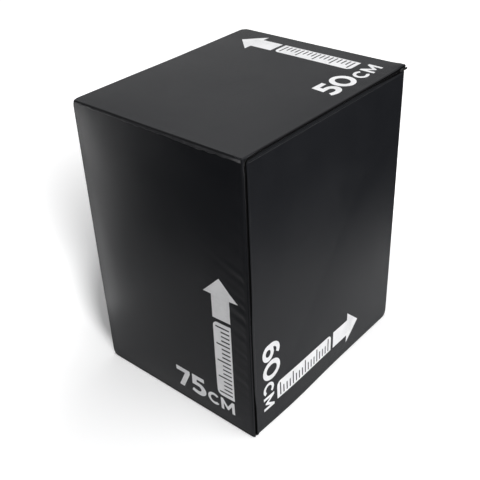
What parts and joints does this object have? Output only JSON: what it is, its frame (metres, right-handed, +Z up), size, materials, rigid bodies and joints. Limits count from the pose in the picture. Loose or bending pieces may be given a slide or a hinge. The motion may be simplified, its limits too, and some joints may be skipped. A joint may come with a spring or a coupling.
{
  "type": "soft plyo box",
  "caption": "Soft plyometric jump box: upright foam block in a zipped black vinyl cover, with its height printed on each face.",
  "frame": {"origin": "centre of the base, on the floor", "axes": "+Z up along the 75 cm side, +X out of the zip side, -Y out of the front"},
  "size_m": [0.5046, 0.606, 0.75],
  "materials": {
    "vinyl": "black vinyl-coated fabric, fine leather grain, satin",
    "zip_tape": "black woven tape",
    "zip_coil": "black nylon coil",
    "zip_metal": "gunmetal, worn bright on the edges",
    "binding": "black woven binding tape",
    "soft_foam": "pale grey soft foam",
    "core_foam": "white stiff foam"
  },
  "bodies": {
    "cover_and_foam": {"bottom_panel": "vinyl", "top_panel": "vinyl", "front_panel": "vinyl", "back_panel": "vinyl", "left_panel": "vinyl", "zip_panel": "vinyl", "cover_zip_tape": "zip_tape", "lower_tape_tail": "zip_tape", "upper_tape_tail": "zip_tape", "cover_zip_coil": "zip_coil", "lower_coil_tail": "zip_coil", "upper_coil_tail": "zip_coil", "upper_end_stop": "zip_metal", "lower_end_stop": "zip_metal", "binding_front_left": "binding", "binding_back_left": "binding", "binding_back_right": "binding", "binding_bottom_front": "binding", "binding_bottom_back": "binding", "binding_bottom_left": "binding", "binding_bottom_right": "binding", "binding_top_front": "binding", "binding_top_back": "binding", "binding_top_left": "binding", "top_pad": "soft_foam", "bottom_pad": "soft_foam", "front_pad": "soft_foam", "back_pad": "soft_foam", "left_pad": "soft_foam", "right_pad": "soft_foam", "core_plank_1": "core_foam", "core_plank_2": "core_foam", "core_plank_3": "core_foam", "core_plank_4": "core_foam", "core_plank_5": "core_foam", "core_plank_6": "core_foam", "core_plank_7": "core_foam"},
    "loose_corner": {"zip_flap": "vinyl", "flap_zip_tape": "zip_tape", "flap_zip_coil": "zip_coil"},
    "slider": {"zip_slider": "zip_metal"},
    "pull": {"slider_pull": "zip_metal"}
  },
  "joints": [
    {"name": "corner_fold", "type": "hinge", "parent": "cover_and_foam", "child": "loose_corner", "pos_m": [0.25, -0.29, 0.046], "axis": [0, 0.6169, 0.787], "range_deg": [0, 165]},
    {"name": "slider_run", "type": "slide", "parent": "cover_and_foam", "child": "slider", "axis": [0, -1, 0], "range_m": [0, 0.555]},
    {"name": "pull_swing", "type": "hinge", "parent": "slider", "child": "pull", "pos_m": [0.2526, 0.284, 0.743], "axis": [0, 0, -1], "range_deg": [0, 180]}
  ]
}
